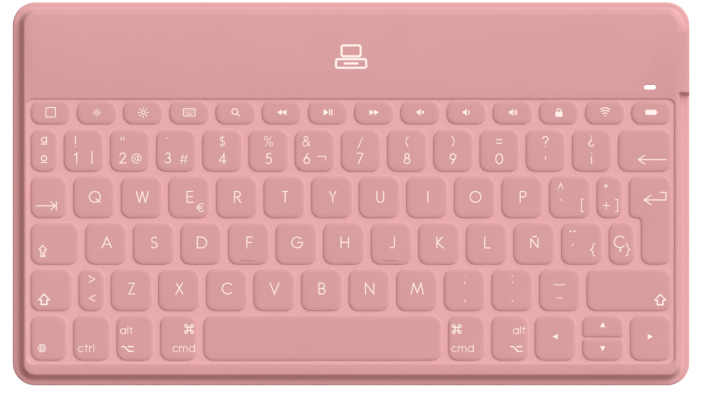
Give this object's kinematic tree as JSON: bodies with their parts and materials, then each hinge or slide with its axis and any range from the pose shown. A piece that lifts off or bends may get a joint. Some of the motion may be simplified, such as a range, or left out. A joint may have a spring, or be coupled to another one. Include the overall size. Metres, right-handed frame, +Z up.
{
  "type": "tablet keyboard",
  "caption": "Ultra-thin wireless tablet keyboard in a pink fabric laminate, with raised keys, a rear electronics strip and a power slider and charging socket in a bay on the right edge.",
  "frame": {"origin": "centre of the flat underside, on the surface that the keyboard lies on", "axes": "+X to the right as typed on, +Y to the rear (the electronics strip), +Z up out of the keys"},
  "size_m": [0.242, 0.137, 0.006],
  "materials": {
    "fabric_laminate": "blush pink fabric-grained laminate, matt, water-repellent",
    "tray_plastic": "moulded tray, tinted to the fabric",
    "frame_plastic": "glass-filled, off-white",
    "key_plastic": "moulded, off-white",
    "bezel_plastic": "fine spark-eroded texture",
    "plate_steel": "zinc-coated sheet",
    "polyester_film": "clear film with printed traces",
    "flex_film": "amber flat cable",
    "dome_rubber": "silicone",
    "scissor_plastic": "acetal",
    "cell_foil": "embossed pouch foil",
    "lead_insulation": "PVC sleeve",
    "board_laminate": "green solder mask",
    "screw_steel": "nickel-plated",
    "shield_metal": "stamped can",
    "connector_plastic": "moulded",
    "socket_steel": "nickel-plated",
    "tongue_plastic": "moulded, with gold contacts",
    "switch_plastic": "moulded",
    "slider_plastic": "ribbed finger piece",
    "led_resin": "clear resin",
    "light_window": "diffusing white",
    "legend_ink": "screen-printed key legends, warm white"
  },
  "bodies": {
    "base": {"top_skin": "fabric_laminate", "bottom_skin": "fabric_laminate", "base_tray": "tray_plastic", "key_frame": "frame_plastic", "bay_cover": "plate_steel", "port_bezel": "bezel_plastic", "support_plate": "plate_steel", "membrane_lower_film": "polyester_film", "membrane_spacer_film": "polyester_film", "membrane_upper_film": "polyester_film", "ribbon_cable": "flex_film", "rubber_domes": "dome_rubber", "scissor_outer_links": "scissor_plastic", "scissor_inner_links": "scissor_plastic", "battery_cell": "cell_foil", "battery_leads": "lead_insulation", "main_board": "board_laminate", "board_screws": "screw_steel", "radio_shield": "shield_metal", "ribbon_connector": "connector_plastic", "usb_shell": "socket_steel", "usb_tongue": "tongue_plastic", "switch_body": "switch_plastic", "status_led": "led_resin", "light_pipe": "light_window"},
    "power_slider": {"power_slider": "slider_plastic"},
    "q_key": {"q_key": "key_plastic"},
    "w_key": {"w_key": "key_plastic"},
    "e_key": {"e_key": "key_plastic"},
    "r_key": {"r_key": "key_plastic"},
    "t_key": {"t_key": "key_plastic"},
    "y_key": {"y_key": "key_plastic"},
    "u_key": {"u_key": "key_plastic"},
    "i_key": {"i_key": "key_plastic"},
    "o_key": {"o_key": "key_plastic"},
    "p_key": {"p_key": "key_plastic"},
    "a_key": {"a_key": "key_plastic"},
    "s_key": {"s_key": "key_plastic"},
    "d_key": {"d_key": "key_plastic"},
    "f_key": {"f_key": "key_plastic"},
    "g_key": {"g_key": "key_plastic"},
    "h_key": {"h_key": "key_plastic"},
    "j_key": {"j_key": "key_plastic"},
    "k_key": {"k_key": "key_plastic"},
    "l_key": {"l_key": "key_plastic"},
    "z_key": {"z_key": "key_plastic"},
    "x_key": {"x_key": "key_plastic"},
    "c_key": {"c_key": "key_plastic"},
    "v_key": {"v_key": "key_plastic"},
    "b_key": {"b_key": "key_plastic"},
    "n_key": {"n_key": "key_plastic"},
    "m_key": {"m_key": "key_plastic"},
    "n_tilde_key": {"n_tilde_key": "key_plastic"},
    "space_bar": {"space_bar": "key_plastic"},
    "enter_key": {"enter_key": "key_plastic"},
    "function_row_keys": {"function_row_keys": "key_plastic"},
    "number_row_keys": {"number_row_keys": "key_plastic"},
    "punctuation_keys": {"punctuation_keys": "key_plastic"},
    "modifier_keys": {"modifier_keys": "key_plastic"},
    "arrow_keys": {"arrow_keys": "key_plastic"}
  },
  "joints": [
    {"name": "q_key_press", "type": "slide", "parent": "base", "child": "q_key", "axis": [0, 0, -1], "range_m": [0, 0.001], "stiffness_N_per_m": 600, "deforming": ["rubber_domes", "scissor_outer_links", "scissor_inner_links", "top_skin"]},
    {"name": "w_key_press", "type": "slide", "parent": "base", "child": "w_key", "axis": [0, 0, -1], "range_m": [0, 0.001], "stiffness_N_per_m": 600, "deforming": ["rubber_domes", "scissor_outer_links", "scissor_inner_links", "top_skin"]},
    {"name": "e_key_press", "type": "slide", "parent": "base", "child": "e_key", "axis": [0, 0, -1], "range_m": [0, 0.001], "stiffness_N_per_m": 600, "deforming": ["rubber_domes", "scissor_outer_links", "scissor_inner_links", "top_skin"]},
    {"name": "r_key_press", "type": "slide", "parent": "base", "child": "r_key", "axis": [0, 0, -1], "range_m": [0, 0.001], "stiffness_N_per_m": 600, "deforming": ["rubber_domes", "scissor_outer_links", "scissor_inner_links", "top_skin"]},
    {"name": "t_key_press", "type": "slide", "parent": "base", "child": "t_key", "axis": [0, 0, -1], "range_m": [0, 0.001], "stiffness_N_per_m": 600, "deforming": ["rubber_domes", "scissor_outer_links", "scissor_inner_links", "top_skin"]},
    {"name": "y_key_press", "type": "slide", "parent": "base", "child": "y_key", "axis": [0, 0, -1], "range_m": [0, 0.001], "stiffness_N_per_m": 600, "deforming": ["rubber_domes", "scissor_outer_links", "scissor_inner_links", "top_skin"]},
    {"name": "u_key_press", "type": "slide", "parent": "base", "child": "u_key", "axis": [0, 0, -1], "range_m": [0, 0.001], "stiffness_N_per_m": 600, "deforming": ["rubber_domes", "scissor_outer_links", "scissor_inner_links", "top_skin"]},
    {"name": "i_key_press", "type": "slide", "parent": "base", "child": "i_key", "axis": [0, 0, -1], "range_m": [0, 0.001], "stiffness_N_per_m": 600, "deforming": ["rubber_domes", "scissor_outer_links", "scissor_inner_links", "top_skin"]},
    {"name": "o_key_press", "type": "slide", "parent": "base", "child": "o_key", "axis": [0, 0, -1], "range_m": [0, 0.001], "stiffness_N_per_m": 600, "deforming": ["rubber_domes", "scissor_outer_links", "scissor_inner_links", "top_skin"]},
    {"name": "p_key_press", "type": "slide", "parent": "base", "child": "p_key", "axis": [0, 0, -1], "range_m": [0, 0.001], "stiffness_N_per_m": 600, "deforming": ["rubber_domes", "scissor_outer_links", "scissor_inner_links", "top_skin"]},
    {"name": "a_key_press", "type": "slide", "parent": "base", "child": "a_key", "axis": [0, 0, -1], "range_m": [0, 0.001], "stiffness_N_per_m": 600, "deforming": ["rubber_domes", "scissor_outer_links", "scissor_inner_links", "top_skin"]},
    {"name": "s_key_press", "type": "slide", "parent": "base", "child": "s_key", "axis": [0, 0, -1], "range_m": [0, 0.001], "stiffness_N_per_m": 600, "deforming": ["rubber_domes", "scissor_outer_links", "scissor_inner_links", "top_skin"]},
    {"name": "d_key_press", "type": "slide", "parent": "base", "child": "d_key", "axis": [0, 0, -1], "range_m": [0, 0.001], "stiffness_N_per_m": 600, "deforming": ["rubber_domes", "scissor_outer_links", "scissor_inner_links", "top_skin"]},
    {"name": "f_key_press", "type": "slide", "parent": "base", "child": "f_key", "axis": [0, 0, -1], "range_m": [0, 0.001], "stiffness_N_per_m": 600, "deforming": ["rubber_domes", "scissor_outer_links", "scissor_inner_links", "top_skin"]},
    {"name": "g_key_press", "type": "slide", "parent": "base", "child": "g_key", "axis": [0, 0, -1], "range_m": [0, 0.001], "stiffness_N_per_m": 600, "deforming": ["rubber_domes", "scissor_outer_links", "scissor_inner_links", "top_skin"]},
    {"name": "h_key_press", "type": "slide", "parent": "base", "child": "h_key", "axis": [0, 0, -1], "range_m": [0, 0.001], "stiffness_N_per_m": 600, "deforming": ["rubber_domes", "scissor_outer_links", "scissor_inner_links", "top_skin"]},
    {"name": "j_key_press", "type": "slide", "parent": "base", "child": "j_key", "axis": [0, 0, -1], "range_m": [0, 0.001], "stiffness_N_per_m": 600, "deforming": ["rubber_domes", "scissor_outer_links", "scissor_inner_links", "top_skin"]},
    {"name": "k_key_press", "type": "slide", "parent": "base", "child": "k_key", "axis": [0, 0, -1], "range_m": [0, 0.001], "stiffness_N_per_m": 600, "deforming": ["rubber_domes", "scissor_outer_links", "scissor_inner_links", "top_skin"]},
    {"name": "l_key_press", "type": "slide", "parent": "base", "child": "l_key", "axis": [0, 0, -1], "range_m": [0, 0.001], "stiffness_N_per_m": 600, "deforming": ["rubber_domes", "scissor_outer_links", "scissor_inner_links", "top_skin"]},
    {"name": "z_key_press", "type": "slide", "parent": "base", "child": "z_key", "axis": [0, 0, -1], "range_m": [0, 0.001], "stiffness_N_per_m": 600, "deforming": ["rubber_domes", "scissor_outer_links", "scissor_inner_links", "top_skin"]},
    {"name": "x_key_press", "type": "slide", "parent": "base", "child": "x_key", "axis": [0, 0, -1], "range_m": [0, 0.001], "stiffness_N_per_m": 600, "deforming": ["rubber_domes", "scissor_outer_links", "scissor_inner_links", "top_skin"]},
    {"name": "c_key_press", "type": "slide", "parent": "base", "child": "c_key", "axis": [0, 0, -1], "range_m": [0, 0.001], "stiffness_N_per_m": 600, "deforming": ["rubber_domes", "scissor_outer_links", "scissor_inner_links", "top_skin"]},
    {"name": "v_key_press", "type": "slide", "parent": "base", "child": "v_key", "axis": [0, 0, -1], "range_m": [0, 0.001], "stiffness_N_per_m": 600, "deforming": ["rubber_domes", "scissor_outer_links", "scissor_inner_links", "top_skin"]},
    {"name": "b_key_press", "type": "slide", "parent": "base", "child": "b_key", "axis": [0, 0, -1], "range_m": [0, 0.001], "stiffness_N_per_m": 600, "deforming": ["rubber_domes", "scissor_outer_links", "scissor_inner_links", "top_skin"]},
    {"name": "n_key_press", "type": "slide", "parent": "base", "child": "n_key", "axis": [0, 0, -1], "range_m": [0, 0.001], "stiffness_N_per_m": 600, "deforming": ["rubber_domes", "scissor_outer_links", "scissor_inner_links", "top_skin"]},
    {"name": "m_key_press", "type": "slide", "parent": "base", "child": "m_key", "axis": [0, 0, -1], "range_m": [0, 0.001], "stiffness_N_per_m": 600, "deforming": ["rubber_domes", "scissor_outer_links", "scissor_inner_links", "top_skin"]},
    {"name": "n_tilde_key_press", "type": "slide", "parent": "base", "child": "n_tilde_key", "axis": [0, 0, -1], "range_m": [0, 0.001], "stiffness_N_per_m": 600, "deforming": ["rubber_domes", "scissor_outer_links", "scissor_inner_links", "top_skin"]},
    {"name": "space_bar_press", "type": "slide", "parent": "base", "child": "space_bar", "axis": [0, 0, -1], "range_m": [0, 0.001], "stiffness_N_per_m": 600, "deforming": ["rubber_domes", "scissor_outer_links", "scissor_inner_links", "top_skin"]},
    {"name": "enter_key_press", "type": "slide", "parent": "base", "child": "enter_key", "axis": [0, 0, -1], "range_m": [0, 0.001], "stiffness_N_per_m": 600, "deforming": ["rubber_domes", "scissor_outer_links", "scissor_inner_links", "top_skin"]},
    {"name": "function_row_keys_press", "type": "slide", "parent": "base", "child": "function_row_keys", "axis": [0, 0, -1], "range_m": [0, 0.001], "stiffness_N_per_m": 600, "deforming": ["rubber_domes", "scissor_outer_links", "scissor_inner_links", "top_skin"]},
    {"name": "number_row_keys_press", "type": "slide", "parent": "base", "child": "number_row_keys", "axis": [0, 0, -1], "range_m": [0, 0.001], "stiffness_N_per_m": 600, "deforming": ["rubber_domes", "scissor_outer_links", "scissor_inner_links", "top_skin"]},
    {"name": "punctuation_keys_press", "type": "slide", "parent": "base", "child": "punctuation_keys", "axis": [0, 0, -1], "range_m": [0, 0.001], "stiffness_N_per_m": 600, "deforming": ["rubber_domes", "scissor_outer_links", "scissor_inner_links", "top_skin"]},
    {"name": "modifier_keys_press", "type": "slide", "parent": "base", "child": "modifier_keys", "axis": [0, 0, -1], "range_m": [0, 0.001], "stiffness_N_per_m": 600, "deforming": ["rubber_domes", "scissor_outer_links", "scissor_inner_links", "top_skin"]},
    {"name": "arrow_keys_press", "type": "slide", "parent": "base", "child": "arrow_keys", "axis": [0, 0, -1], "range_m": [0, 0.001], "stiffness_N_per_m": 600, "deforming": ["rubber_domes", "scissor_outer_links", "scissor_inner_links", "top_skin"]},
    {"name": "power_slide", "type": "slide", "parent": "base", "child": "power_slider", "axis": [0, -1, 0], "range_m": [0, 0.0024]}
  ]
}
